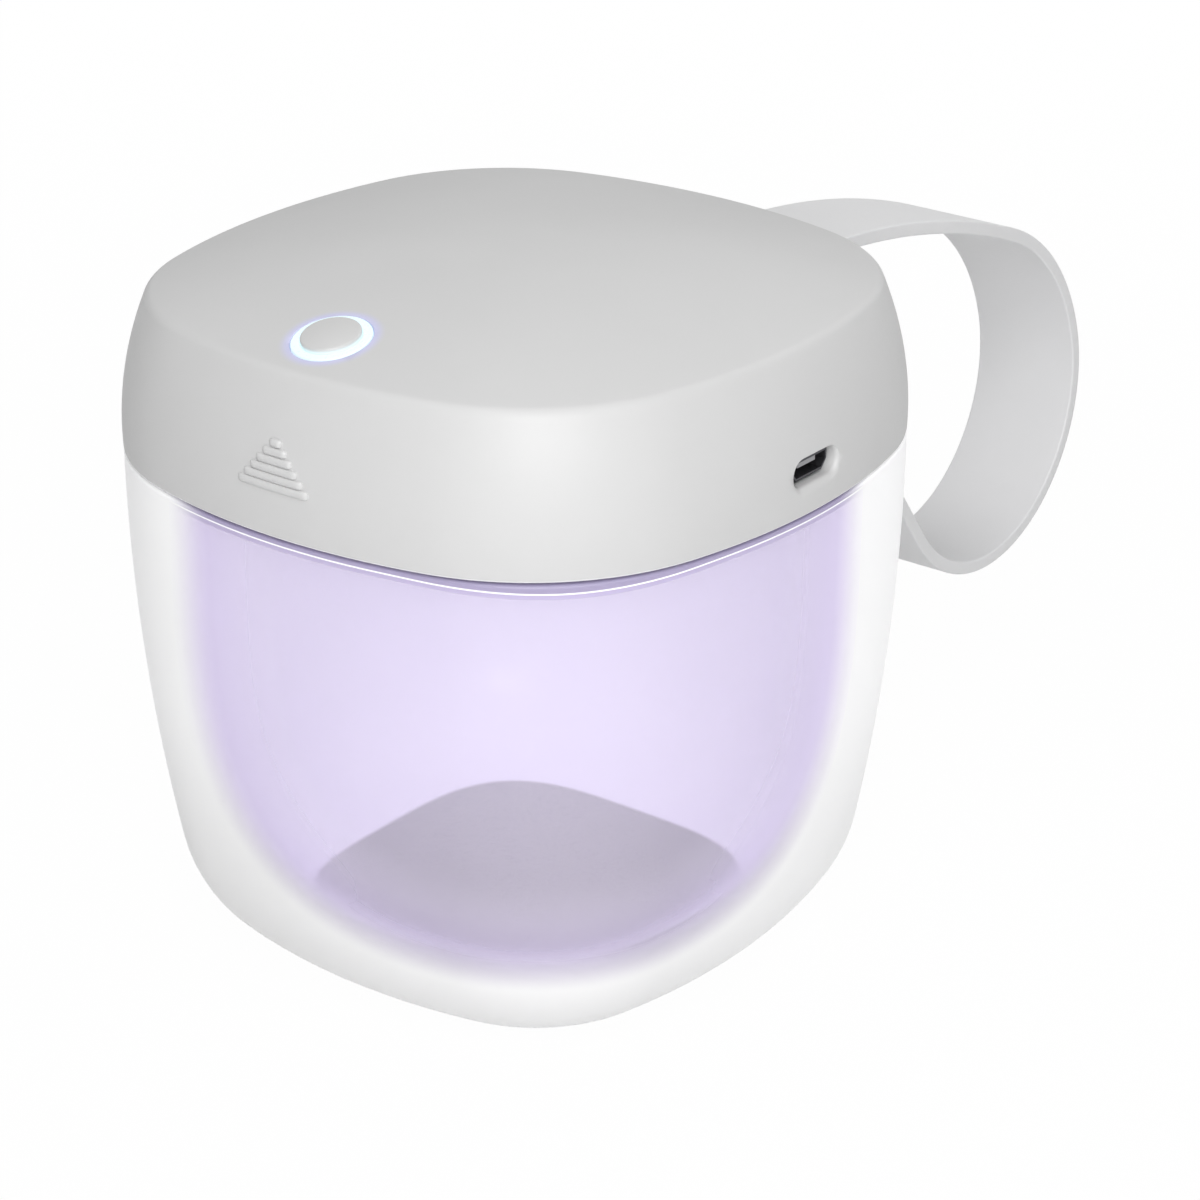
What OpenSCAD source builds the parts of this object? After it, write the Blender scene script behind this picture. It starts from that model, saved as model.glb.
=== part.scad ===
// Pacifier sterilizer case: a rounded square box with a clear chamber, a hinged lid that
// holds the ultraviolet lamp, battery and switch, and a soft carrying strap behind the
// lid. Millimetres.
// Origin at the middle of the underside, +Z up, front at -Y, charging port at +X.

/* [Plan outline] */
// Width across the flats at the parting line
case_w = 92; // [86:1:100]
// Radius of the four bulged sides
side_r = 86; // [76:1:110]
// Radius of the four rounded corners
corner_r = 30.7; // [28:0.1:33]
// Segments along each side arc
side_steps = 6; // [4:2:8]
// Segments along each corner arc
corner_steps = 12; // [8:2:14]

/* [Base shell] */
// Height of the parting line between base and lid
part_z = 68.5; // [64:0.5:80]
// How far the base leans in from the parting line down to the underside
base_lean = 7.9; // [6:0.1:9]
// How far the base walls swell out between those two
base_belly = 2.1; // [0:0.1:2.5]
// How far the rounded foot runs in under the base
foot_in = 11; // [8:0.5:13]
// How high the rounded foot rises
foot_up = 14.2; // [10:0.1:18]
// Wall of the base shell
shell_wall = 2.4; // [2:0.1:3]
// Wall of the base shell above the ledge that carries the liner
rim_wall = 1.8; // [1.2:0.1:1.9]
// Depth of that ledge below the parting line
ledge_drop = 2.1; // [1.8:0.1:3]
// Distance of the four support posts from the middle, along X and Y
post_at = 14; // [10:1:16]
// Radius of the support posts
post_r = 3; // [2:0.5:4]

/* [Chamber liner] */
// Air gap between the base shell and the liner
liner_gap = 2.2; // [2:0.1:3]
// Wall of the liner
liner_wall = 1.4; // [1:0.1:2]
// Height of the chamber floor above the underside
chamber_floor = 5.2; // [5:0.1:12]
// How far the round of the chamber floor runs in
liner_in = 13; // [8:0.5:15]
// How high the round of the chamber floor rises
liner_up = 12; // [8:0.5:14]
// Thickness of the liner's flange
flange_t = 1; // [0.8:0.1:1.2]
// Clearance round the flange
flange_gap = 0.2; // [0.1:0.05:0.3]

/* [Lid] */
// Height of the lid's side, from the parting line to the edge of its top
lid_h = 20.25; // [18:0.25:26]
// How far the lid leans in over that height
lid_lean = 3.7; // [2:0.1:5]
// How far the lid's sides swell out
lid_belly = 1.25; // [0:0.05:2]
// Rise of the crowned top above its edge
crown = 6.2; // [4:0.1:8]
// Radius, roughly, of the soft edge between side and top
edge_soft = 0.8; // [0.6:0.1:2]
// Wall of the lid
lid_wall = 2; // [1.8:0.1:2.4]
// Open gap between lid and base when shut
part_gap = 0.3; // [0.2:0.05:0.4]

/* [Thumb grip] */
// Number of raised ribs in the triangle
rib_n = 7; // [5:1:8]
// Length of the lowest rib
rib_l = 11; // [8:0.5:14]
// Height of the lowest rib above the parting line
rib_up = 6.3; // [5:0.1:7]
// Distance from rib to rib
rib_pitch = 0.96; // [0.9:0.02:1.2]
// Height of a rib above the lid's surface
rib_out = 0.45; // [0.3:0.05:0.6]

/* [Hinge] */
// Distance of the hinge axis behind the case
hinge_out = 2; // [1.8:0.1:2.4]
// Radius of the hinge knuckles
knuckle_r = 2.6; // [2.4:0.1:2.7]
// Radius of the hinge pins
pin_r = 1; // [0.8:0.1:1.3]
// Radial clearance of a pin in its bore
pin_gap = 0.05; // [0.02:0.01:0.08]
// Gap between each hinge and the strap's ear beside it
hinge_gap = 0.5; // [0.4:0.1:1]
// Length of the lid's knuckle
lid_knuckle = 4.6; // [4:0.2:5.4]
// Length of each base knuckle
base_knuckle = 3; // [2.4:0.2:3.4]
// Side gap between knuckles
knuckle_gap = 0.3; // [0.2:0.05:0.4]

/* [Strap] */
// Width of the strap
strap_w = 17; // [14:0.5:18]
// Thickness of the strap
strap_t = 2; // [1.5:0.1:2.4]
// Radius of the bar that the strap hangs on
bar_r = 1.5; // [1.2:0.1:1.6]
// Height of the bar above the parting line
bar_up = 7.9; // [7.5:0.1:9]
// Gap between the strap's eye and the lid
eye_gap = 0.7; // [0.5:0.1:1]
// Side gap between the strap and its ears
ear_gap = 0.4; // [0.3:0.05:0.5]
// Thickness of an ear
ear_t = 2.4; // [2:0.1:3]
// Radius of the strap's nearly flat upper run
run_r = 150; // [120:1:200]
// Angle that the upper run turns through
run_turn = 22; // [18:1:26]
// Radius of the strap's outer bend
bend_r = 33; // [28:1:38]
// Angle that the outer bend turns through
bend_turn = 50; // [40:1:80]
// Radius of the strap's lower bend
low_r = 23.5; // [20:0.5:28]

/* [Switch] */
// Distance of the button behind the front edge of the lid's top
button_in = 7.6; // [7.3:0.1:10]
// Radius of the button cap
cap_r = 3.75; // [3:0.05:4]
// Height of the cap's side above the light ring
cap_side = 0.65; // [0.5:0.05:0.8]
// Height of the middle of the domed cap above the light ring
cap_up = 1; // [1:0.1:1.5]
// Outer radius of the light ring
ring_r = 5; // [4.6:0.1:5.4]
// Travel of the button
press = 0.4; // [0.2:0.05:0.5]
// Radial clearance of the cap and of the ring
cap_gap = 0.1; // [0.05:0.01:0.15]
// Depth of the switch board below the lid's surface
board_depth = 6.2; // [6:0.1:7]

/* [Charging port] */
// Offset of the port from the middle of its side
port_y = 0.5; // [-2:0.1:2]
// Height of the port above the parting line
port_up = 5.8; // [5.6:0.1:7]
// Width of the port's opening
port_w = 9; // [8.6:0.1:10]
// Height of the port's opening
port_h = 3.5; // [3.2:0.1:4]
// Width of the connector's metal can
can_w = 7.4; // [7:0.1:7.8]
// Height of the connector's metal can
can_h = 2.5; // [2.2:0.1:2.8]
// Length of the connector's metal can
can_l = 5.6; // [5:0.1:7]
// Depth of the can's mouth below the lid's surface
can_deep = 1.3; // [0.8:0.1:1.6]

/* [Lid cover and seal] */
// Gap between lid and inner cover
cover_gap = 0.2; // [0.1:0.05:0.3]
// Height of the inner cover's underside above the parting line
cover_up = 0.8; // [0.6:0.1:1.2]
// Thickness of the inner cover
cover_t = 2; // [1.8:0.1:2.4]
// Depth of the cover's skirt inside the chamber's mouth
skirt_drop = 3.5; // [2:0.5:5]
// Thickness of that skirt
skirt_t = 1.6; // [1.2:0.1:2]
// Clearance between skirt and liner
skirt_gap = 0.6; // [0.4:0.1:0.8]
// Distance of the cover screws from the middle, along X and Y
screw_at = 24; // [23:0.5:26]
// Radius of a cover screw's thread
screw_r = 1.1; // [0.9:0.1:1.3]
// Length of a cover screw below its head
screw_l = 8; // [6:0.5:10]
// Radius of a screw boss
boss_r = 3; // [2.6:0.1:3.2]

/* [Lamp] */
// Radius of the clear lamp window
window_r = 12; // [10:0.5:12.5]
// Thickness of the lamp window
window_t = 1.2; // [0.8:0.1:1.4]
// Height of the lamp board above the inner cover
lamp_up = 2.2; // [1.8:0.1:3]
// Number of lamps round the lamp board
lamp_n = 4; // [3:1:6]
// Size of a lamp's square package
lamp_w = 3.5; // [2.8:0.1:4]

/* [Battery and boards] */
// Length of the battery, along Y
battery_l = 34; // [28:1:36]
// Width of the battery, along X
battery_w = 23; // [18:1:23]
// Thickness of the battery
battery_t = 6; // [4:0.5:8]
// Thickness of the battery's foam pad
pad_t = 0.5; // [0.3:0.1:1]
// Thickness of the circuit boards
board_t = 1.2; // [0.8:0.1:1.6]
// Radius of a lead
lead_r = 0.6; // [0.4:0.1:0.7]
// Radius of the magnet that tells the lid is shut
magnet_r = 2.5; // [2:0.1:3]
// Thickness of that magnet
magnet_t = 1.6; // [1:0.1:1.9]

/* [Hidden] */
$fn = 48;
eps = 0.01;                       // cutters run this far past what they cut
half_w = case_w / 2;

// Plan outline: each side is an arc about side_c, each corner an arc about corner_c
side_c = half_w - side_r;
corner_c = (side_c + sqrt(2 * pow(side_r - corner_r, 2) - side_c * side_c)) / 2;
side_a = atan2(corner_c, corner_c - side_c);
plan_angles = [for (k = [0:3]) each concat(
    [for (i = [0:side_steps - 1]) 90 * k + side_a * (2 * i / side_steps - 1)],
    [for (i = [0:corner_steps - 1]) 90 * k + side_a + (90 - 2 * side_a) * i / corner_steps])];

// Levels
ledge_z = part_z - ledge_drop;
lid_z = part_z + part_gap;
edge_z = part_z + lid_h;
cover_z = part_z + cover_up;
cover_top = cover_z + cover_t;
seal_z = ledge_z + flange_t + 0.3;
roof_t = lid_wall;

// Insets from the outer surface of the base, working inwards
liner_out = shell_wall + liner_gap;
liner_in_wall = liner_out + liner_wall;
skirt_out = liner_in_wall + skirt_gap;
seal_in = skirt_out - 0.05;
seal_out = rim_wall + 1.2;

// Hinge and strap places
hinge_y = half_w + hinge_out;
hinge_z = part_z + part_gap / 2;
eye_r = bar_r + pin_gap + strap_t;
bar_y = half_w + eye_gap + eye_r;
bar_z = part_z + bar_up;
ear_r = eye_r - 0.2;
ear_x = strap_w / 2 + ear_gap;
pin_l = lid_knuckle + 2 * (knuckle_gap + base_knuckle);
hinge_x = ear_x + ear_t + hinge_gap + pin_l / 2;

// Button: its axis is square to the crowned top
button_at = half_w - lid_lean - button_in;
button_f = button_at / (half_w - lid_lean);
button_z = edge_z + crown * (1 - button_f * button_f);
button_tilt = atan(2 * crown * button_f / (half_w - lid_lean));
lip_t = 1.4;                      // roof left above the light ring's flange
flange_h = 1.2;                   // light ring's flange
flange_w = 1;
cap_flange_w = 0.8;
cap_flange_h = 0.8;
collar_r = ring_r + flange_w + cap_gap + 1.1;
stem_end = board_depth - 2;
stem_r = 1.4;
switch_h = 2 - press - 0.05;      // leaves the stem its travel
switch_w = 5.2;                   // square case of the switch, and its plunger
plunger_r = 1.1;

// Port and boards
port_z = part_z + port_up;
board_top = port_z - can_h / 2;
board_z = board_top - board_t;
can_x = half_w - lid_inset((port_z - part_z) / lid_h) - can_deep;
can_back = 0.8;                   // thickness of the connector's rear wall
lamp_z = cover_top + lamp_up;
lamp_ring = window_r + 2;
lamp_t = 1.2;                     // height of a lamp's package
room_x = half_w - lid_wall - 3;   // clear width inside the lid at the battery's height
battery_x = -(lamp_ring + room_x) / 2;
board_x0 = lamp_ring + 3;
board_x1 = can_x - 3;
head_h = 1;                       // screw head, and how far it lies below the cover's face
head_sink = 0.1;
sensor_x = 17;
sensor_y = 35;
lead_z = lamp_z + board_t + 4 * lead_r;

// ---------- Outline and loft ----------
function turn(p, a) = [p[0] * cos(a) - p[1] * sin(a), p[0] * sin(a) + p[1] * cos(a)];

// Point of the plan outline whose outward normal has the angle t, moved in by inset
function plan_point(t, inset) =
    let(k = round(t / 90), u = t - 90 * k, on_side = abs(u) <= side_a)
    let(c = on_side ? [side_c, 0] : [corner_c, sign(u) * corner_c])
    let(r = (on_side ? side_r : corner_r) - inset)
    turn(c + r * [cos(u), sin(u)], 90 * k);

function ring(inset, z) = [for (t = plan_angles) [each plan_point(t, inset), z]];

// How far the outer surface of base and lid lies inside the parting line's outline
function base_inset(z) = let(t = 1 - z / part_z) base_lean * t - 4 * base_belly * t * (1 - t);
function lid_inset(t) = lid_lean * t - 4 * lid_belly * t * (1 - t);

function base_ring(wall, z) = ring(base_inset(z) + wall, z);
function lid_ring(wall, z) = ring(lid_inset((z - part_z) / lid_h) + wall, z);

// Rings of a cup's rounded foot, from its flat floor out to its wall
function foot_rings(wall, floor_z, rise, run, steps) = [for (i = [0:steps])
    let(a = 90 * i / steps, z = floor_z + rise * (1 - cos(a)))
    base_ring(wall + run * (1 - sin(a)), z)];

// Rings up a wall of the base between two heights, without the first one
function wall_rings(wall, z0, z1, steps) =
    [for (i = [1:steps]) base_ring(wall, z0 + (z1 - z0) * i / steps)];

// Ring of the crowned top: the edge ring shrunk by f and lifted
function crown_ring(wall, f, drop) = [for (p = lid_ring(wall, edge_z))
    [p[0] * f, p[1] * f, edge_z + crown * (1 - f * f) - drop]];

function soft_ring(a, b, c, s) = [for (i = [0:len(a) - 1])
    a[i] * pow(1 - s, 2) + 2 * b[i] * s * (1 - s) + c[i] * s * s];

function reversed(list) = [for (i = [len(list) - 1:-1:0]) list[i]];

// Skin over a list of rings; closed joins the last ring to the first, otherwise both ends are capped
module loft(rings, closed = false) {
    n = len(rings[0]);
    m = len(rings);
    last = closed ? m - 1 : m - 2;
    polyhedron(
        points = [for (r = rings) each r],
        faces = concat(
            closed ? [] : [[for (i = [0:n - 1]) i], [for (i = [n - 1:-1:0]) (m - 1) * n + i]],
            [for (j = [0:last], i = [0:n - 1]) let(k = (i + 1) % n, up = ((j + 1) % m) * n)
                each [[up + i, j * n + k, j * n + i], [up + i, up + k, j * n + k]]]));
}

// Shapes drawn in the YZ plane and drawn out along X from x0 by length
module along_x(x0, length) {
    translate([x0, 0, 0]) rotate([90, 0, 90]) linear_extrude(length) children();
}

module rod_x(r, x0, length, y, z) {
    translate([x0, y, z]) rotate([0, 90, 0]) cylinder(r = r, h = length);
}

module at_corners(d) {
    for (x = [-d, d], y = [-d, d]) translate([x, y, 0]) children();
}

module each_side() {
    children();
    mirror([1, 0, 0]) children();
}

module at_button() {
    translate([0, -button_at, button_z]) rotate([button_tilt, 0, 0]) children();
}

// ---------- Base ----------
module base_cup() {
    loft(concat(
        foot_rings(0, 0, foot_up, foot_in, 7),
        wall_rings(0, foot_up, part_z, 5),
        [base_ring(rim_wall, part_z), base_ring(rim_wall, ledge_z), base_ring(shell_wall, ledge_z)],
        reversed(wall_rings(shell_wall, foot_up, ledge_z, 4)),
        reversed(foot_rings(shell_wall, shell_wall, foot_up - shell_wall, foot_in, 6))));
}

// Knuckle with a web that runs into the wall below (side -1) or above it (side 1)
module knuckle(x0, length, side, wall) {
    web = 2.6 * knuckle_r;            // how far the web reaches up or down, and inwards
    inner = -4.5 * knuckle_r;
    difference() {
        union() {
            rod_x(knuckle_r, x0, length, hinge_y, hinge_z);
            along_x(x0, length) translate([hinge_y, hinge_z]) polygon([
                [0, 0], [knuckle_r * cos(20), side * knuckle_r * sin(20)],
                [-hinge_out - 0.4, side * web], [inner, side * web],
                [inner, side * part_gap / 2], [0, side * part_gap / 2]]);
        }
        translate([0, side_c, hinge_z - 2 * web]) cylinder(r = side_r - wall / 2, h = 4 * web, $fn = 96);
        rod_x(pin_r + pin_gap, x0 - eps, length + 2 * eps, hinge_y, hinge_z);
    }
}

module base_shell() {
    color("whitesmoke") {
        base_cup();
        at_corners(post_at) translate([0, 0, shell_wall / 2])
            cylinder(r = post_r, h = chamber_floor - liner_wall - shell_wall / 2);
        each_side() for (s = [-1, 1])
            knuckle(hinge_x - base_knuckle / 2 + s * (lid_knuckle + base_knuckle + 2 * knuckle_gap) / 2,
                base_knuckle, -1, rim_wall);
    }
}

module chamber_liner() {
    out_floor = chamber_floor - liner_wall;
    color("lavender") loft(concat(
        foot_rings(liner_out, out_floor, liner_up + liner_wall, liner_in + 1, 6),
        wall_rings(liner_out, out_floor + liner_up + liner_wall, ledge_z, 3),
        [base_ring(rim_wall + flange_gap, ledge_z), base_ring(rim_wall + flange_gap, ledge_z + flange_t)],
        reversed(wall_rings(liner_in_wall, chamber_floor + liner_up, ledge_z + flange_t, 3)),
        reversed(foot_rings(liner_in_wall, chamber_floor, liner_up, liner_in, 6))));
}

module hinge_pins() {
    color("silver") each_side()
        rod_x(pin_r, hinge_x - pin_l / 2, pin_l, hinge_y, hinge_z);
}

// ---------- Lid ----------
module lid_cup() {
    side_edge = lid_ring(0, edge_z - edge_soft);
    crown_edge = crown_ring(0, 1 - edge_soft / half_w, 0);
    loft(concat(
        [for (f = [0.05, 0.4, 0.7, 0.88]) crown_ring(lid_wall, f, roof_t)],
        [for (i = [4:-1:0]) lid_ring(lid_wall, lid_z + (edge_z - roof_t - lid_z) * i / 4)],
        [for (i = [0:4]) lid_ring(0, lid_z + (edge_z - edge_soft - lid_z) * i / 4)],
        [for (s = [0.3, 0.7]) soft_ring(side_edge, lid_ring(0, edge_z), crown_edge, s)],
        [crown_edge],
        [for (f = [0.85, 0.7, 0.5, 0.3, 0.05]) crown_ring(0, f, 0)]));
}

// Triangle of level ribs, the longest lowest, each a ridge rooted in the lid's wall
module thumb_grip() {
    foot = 0.38 * rib_pitch;          // half widths of a ridge at its foot and at its top
    top = 0.14 * rib_pitch;
    for (i = [0:rib_n - 1]) {
        up = rib_up + i * rib_pitch;
        y = -half_w + lid_inset(up / lid_h);
        l = rib_l * (1 - i / rib_n);
        along_x(-l / 2, l) translate([y, part_z + up]) polygon([
            [lid_wall / 2, -foot], [0, -foot], [-rib_out, -top],
            [-rib_out, top], [0, foot], [lid_wall / 2, foot]]);
    }
}

module strap_ear() {
    difference() {
        union() {
            rod_x(ear_r, ear_x, ear_t, bar_y, bar_z);
            along_x(ear_x, ear_t) translate([bar_y, bar_z])
                polygon([[0, ear_r], [-3 * ear_r, ear_r + 1], [-3 * ear_r, -ear_r - 0.5], [0, -ear_r]]);
        }
        translate([0, side_c, part_z]) cylinder(r = side_r - lid_wall / 2, h = lid_h, $fn = 96);
        rod_x(bar_r + pin_gap / 2, ear_x - eps, ear_t + 2 * eps, bar_y, bar_z);
    }
}

// Opening of the charging port, with a bevel at the outer face
module port_cut() {
    end = port_w / 2 - port_h / 2;
    bevel = 0.7;
    x = half_w - lid_inset(port_up / lid_h);
    translate([x, port_y, port_z]) {
        for (s = [-1, 1]) translate([0, s * end, 0]) rotate([0, 90, 0]) {
            translate([0, 0, -2 * lid_wall]) cylinder(r = port_h / 2, h = 3 * lid_wall);
            translate([0, 0, -bevel]) cylinder(r1 = port_h / 2, r2 = port_h / 2 + 2 * bevel, h = 2 * bevel);
        }
        translate([-2 * lid_wall, -end, -port_h / 2]) cube([3 * lid_wall, 2 * end, port_h]);
        rotate([90, 0, 0]) linear_extrude(2 * end, center = true) polygon([
            [-bevel, -port_h / 2], [bevel, -port_h / 2 - 2 * bevel],
            [bevel, port_h / 2 + 2 * bevel], [-bevel, port_h / 2]]);
    }
}

module screw_boss() {
    reach = corner_c * sqrt(2) + corner_r - lid_lean;
    f = screw_at * sqrt(2) / reach;
    top = edge_z + crown * (1 - f * f) - roof_t / 2;
    difference() {
        translate([0, 0, cover_top]) cylinder(r = boss_r, h = top - cover_top);
        translate([0, 0, cover_top - eps]) cylinder(r = screw_r + pin_gap, h = screw_l + 1);
    }
}

module lid_shell() {
    color("lightgray") {
        difference() {
            union() {
                lid_cup();
                at_button() translate([0, 0, -board_depth])
                    cylinder(r = collar_r, h = board_depth - roof_t / 2);
            }
            at_button() {
                translate([0, 0, -lip_t - eps]) cylinder(r = ring_r + cap_gap, h = 2 * lip_t);
                translate([0, 0, -board_depth - eps])
                    cylinder(r = ring_r + flange_w + cap_gap, h = board_depth - lip_t + eps);
            }
            port_cut();
        }
        thumb_grip();
        at_corners(screw_at) screw_boss();
        each_side() {
            knuckle(hinge_x - lid_knuckle / 2, lid_knuckle, 1, lid_wall);
            strap_ear();
        }
    }
}

// Clear ring round the button, held from inside by its flange
module light_ring() {
    color("azure") at_button() difference() {
        union() {
            translate([0, 0, -lip_t - flange_h / 2]) cylinder(r = ring_r, h = lip_t + flange_h / 2);
            translate([0, 0, -lip_t - flange_h]) cylinder(r = ring_r + flange_w, h = flange_h - 0.05);
        }
        translate([0, 0, -lip_t - flange_h - eps])
            cylinder(r = cap_r + cap_gap, h = lip_t + flange_h + 1);
        translate([0, 0, -lip_t - flange_h - eps])
            cylinder(r = cap_r + cap_flange_w + cap_gap, h = flange_h);
    }
}

module button_cap() {
    flange_top = -lip_t - 0.1;
    dome_h = cap_up - cap_side;
    dome_r = (cap_r * cap_r + dome_h * dome_h) / (2 * dome_h);
    dome_a = asin(cap_r / dome_r);
    color("gainsboro") at_button() rotate_extrude($fn = 72) polygon(concat(
        [[0, -stem_end], [stem_r, -stem_end], [stem_r, flange_top - cap_flange_h],
         [cap_r + cap_flange_w, flange_top - cap_flange_h], [cap_r + cap_flange_w, flange_top],
         [cap_r, flange_top]],
        [for (i = [0:8]) let(a = dome_a * (1 - i / 8)) [dome_r * sin(a), cap_up - dome_r * (1 - cos(a))]]));
}

module switch_board() {
    color("seagreen") at_button() translate([0, 0, -board_depth - board_t])
        cylinder(r = collar_r, h = board_t);
}

module tact_switch() {
    color("dimgray") at_button() translate([0, 0, -board_depth]) {
        translate([-switch_w / 2, -switch_w / 2, 0]) cube([switch_w, switch_w, switch_h - 0.3]);
        cylinder(r = plunger_r, h = switch_h);
    }
}

module ring_lamps() {
    color("white") at_button() for (a = [45:90:315]) rotate([0, 0, a])
        translate([ring_r - 0.4, -0.8, -board_depth]) cube([1, 1.6, 0.7]);
}

// ---------- Inside the lid ----------
module inner_cover() {
    skirt_in = skirt_out + skirt_t;
    color("white") {
        difference() {
            loft([ring(skirt_in, cover_z), ring(skirt_in, cover_z - skirt_drop),
                ring(skirt_out, cover_z - skirt_drop), ring(skirt_out, cover_z),
                lid_ring(lid_wall + cover_gap, cover_z), lid_ring(lid_wall + cover_gap, cover_top)]);
            translate([0, 0, cover_z - eps]) cylinder(r = window_r - 1.5, h = cover_t + 1);
            translate([0, 0, cover_top - window_t]) cylinder(r = window_r + cap_gap, h = window_t + 1);
            at_corners(screw_at) {
                translate([0, 0, cover_z - eps]) cylinder(r = screw_r + cap_gap, h = cover_t + 1);
                translate([0, 0, cover_z - eps])
                    cylinder(r = 2 * screw_r + cap_gap, h = head_h + head_sink + eps);
            }
        }
        translate([0, 0, cover_top - eps]) difference() {
            cylinder(r = lamp_ring, h = lamp_up + eps);
            translate([0, 0, -1]) cylinder(r = window_r + 0.5, h = lamp_up + 2);
        }
        for (y = [-10, 12], x = [board_x0 + 3, board_x1 - 3]) translate([x, y, cover_top - eps])
            cylinder(r = 1.5, h = board_z - cover_top + eps);
    }
}

module lid_seal() {
    color("thistle") loft([ring(seal_in, seal_z), ring(seal_out + 0.6, seal_z),
        ring(seal_out, seal_z + 0.5), ring(seal_out, cover_z), ring(seal_in, cover_z)],
        closed = true);
}

module cover_screws() {
    color("silver") at_corners(screw_at) {
        translate([0, 0, cover_z + head_sink]) cylinder(r = 2 * screw_r, h = head_h);
        translate([0, 0, cover_z + head_sink]) cylinder(r = screw_r, h = head_h + screw_l);
    }
}

module lamp_window() {
    color("lightcyan") translate([0, 0, cover_top - window_t]) cylinder(r = window_r, h = window_t);
}

module lamp_board() {
    color("whitesmoke") translate([0, 0, lamp_z]) cylinder(r = lamp_ring - 0.5, h = board_t);
}

module uv_lamps() {
    color("plum") for (i = [0:lamp_n - 1]) rotate([0, 0, 45 + 360 * i / lamp_n])
        translate([(window_r - lamp_w) / 2, -lamp_w / 2, lamp_z - lamp_t]) cube([lamp_w, lamp_w, lamp_t]);
}

module main_board() {
    color("seagreen") translate([0, 0, board_z]) {
        translate([board_x0, -15, 0]) cube([board_x1 - board_x0, 31, board_t]);
        translate([sensor_x - 3, 6, 0]) cube([5.5, sensor_y - 3, board_t]);
    }
}

module board_chips() {
    w = board_x1 - board_x0;
    color("dimgray") translate([board_x0 + w / 4, 0, board_top]) {
        translate([0, -0.45 * w, 0]) cube([w / 5, w / 4, 1.2 * board_t]);
        translate([0, w / 4, 0]) cube([w / 6, w / 6, board_t]);
        translate([w / 3, -w / 2, 0]) cube([w / 6, w / 6, 1.6 * board_t]);
    }
}

module lid_sensor() {
    color("black") translate([sensor_x - 1.5, sensor_y - 1, board_top]) cube([3, 1.6, 1.1]);
}

// Mouth of the connector: flat on top, its lower corners cut off
module can_profile(w, h) {
    cut = 0.42 * h;
    polygon([[-w / 2, h / 2], [-w / 2, h / 2 - 0.55 * h], [-w / 2 + cut, -h / 2],
        [w / 2 - cut, -h / 2], [w / 2, h / 2 - 0.55 * h], [w / 2, h / 2]]);
}

module port_can() {
    skin = 0.3;
    color("silver") translate([0, port_y, port_z]) difference() {
        along_x(can_x - can_l, can_l) can_profile(can_w, can_h);
        along_x(can_x - can_l + can_back, can_l) can_profile(can_w - 2 * skin, can_h - 2 * skin);
    }
}

module port_tongue() {
    mouth_gap = 0.4;                  // from its end to the can's mouth
    color("dimgray") translate([can_x - can_l + can_back, port_y - can_w / 4, port_z + 0.1])
        cube([can_l - can_back - mouth_gap, can_w / 2, 0.6]);
}

module battery_pad() {
    color("gray") translate([battery_x - battery_w / 2 + 1, -battery_l / 2 + 1, cover_top])
        cube([battery_w - 2, battery_l - 2, pad_t]);
}

module battery() {
    color("silver") translate([battery_x, 0, cover_top + pad_t]) {
        r = battery_t / 2;
        for (s = [-1, 1]) translate([s * (battery_w / 2 - r), battery_l / 2, r])
            rotate([90, 0, 0]) cylinder(r = r, h = battery_l);
        translate([-battery_w / 2 + r, -battery_l / 2, 0]) cube([battery_w - 2 * r, battery_l, battery_t]);
    }
}

// Lead through a list of points: round rods with balls at the bends
module lead(path) {
    for (i = [0:len(path) - 2]) {
        d = path[i + 1] - path[i];
        translate(path[i]) rotate([0, acos(d[2] / norm(d)), atan2(d[1], d[0])])
            cylinder(r = lead_r, h = norm(d), $fn = 16);
    }
    for (i = [1:len(path) - 2]) translate(path[i]) sphere(r = lead_r, $fn = 16);
}

module battery_leads() {
    x0 = battery_x + battery_w / 2;
    z0 = cover_top + pad_t + battery_t / 2;
    for (s = [-1, 1]) color(s < 0 ? "black" : "firebrick") translate([0, (2 * s - 5) * lead_r, 0])
        lead([[x0, 0, z0], [x0 + 1.6 * lead_r, 0, z0], [x0 + 1.6 * lead_r, 0, lead_z],
            [board_x0 + 3 * lead_r, 0, lead_z], [board_x0 + 3 * lead_r, 0, board_top]]);
}

module lamp_leads() {
    x0 = 0.7 * lamp_ring;
    for (s = [-1, 1]) color(s < 0 ? "black" : "white") translate([0, (2 * s + 5) * lead_r, 0])
        lead([[x0, 0, lamp_z + board_t], [x0, 0, lead_z],
            [board_x0 + 3 * lead_r, 0, lead_z], [board_x0 + 3 * lead_r, 0, board_top]]);
}

// Disc magnet against the liner's rear wall, below the lid sensor
module lid_magnet() {
    a = 90 - asin(sensor_x / side_r);
    z = ledge_z - magnet_r - 0.6;
    p = plan_point(a, base_inset(z) + liner_out - 0.15);
    color("dimgray") translate([p[0], p[1], z]) rotate([0, 90, a])
        cylinder(r = magnet_r, h = magnet_t);
}

// ---------- Strap ----------
module strap_bar() {
    color("silver") rod_x(bar_r, -ear_x - ear_t, 2 * (ear_x + ear_t), bar_y, bar_z);
}

// The strap's middle line: up round the eye, out along the upper run, round the outer
// and lower bends, and straight back to the eye
eye_mid = eye_r - strap_t / 2;
run_c = [0, eye_mid - run_r];
bend_c = run_c + (run_r - bend_r) * [sin(run_turn), cos(run_turn)];
low_a = run_turn + bend_turn;
low_c = bend_c + (bend_r - low_r) * [sin(low_a), cos(low_a)];
back_d = norm(low_c);
back_a = atan2(low_c[0], low_c[1]) + acos((eye_mid - low_r) / back_d);
end_a = back_a > low_a ? back_a : back_a + 360;

function arc(c, r, a0, a1, step) = let(n = ceil((a1 - a0) / step))
    [for (i = [0:n]) let(a = a0 + (a1 - a0) * i / n) c + r * [sin(a), cos(a)]];

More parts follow.
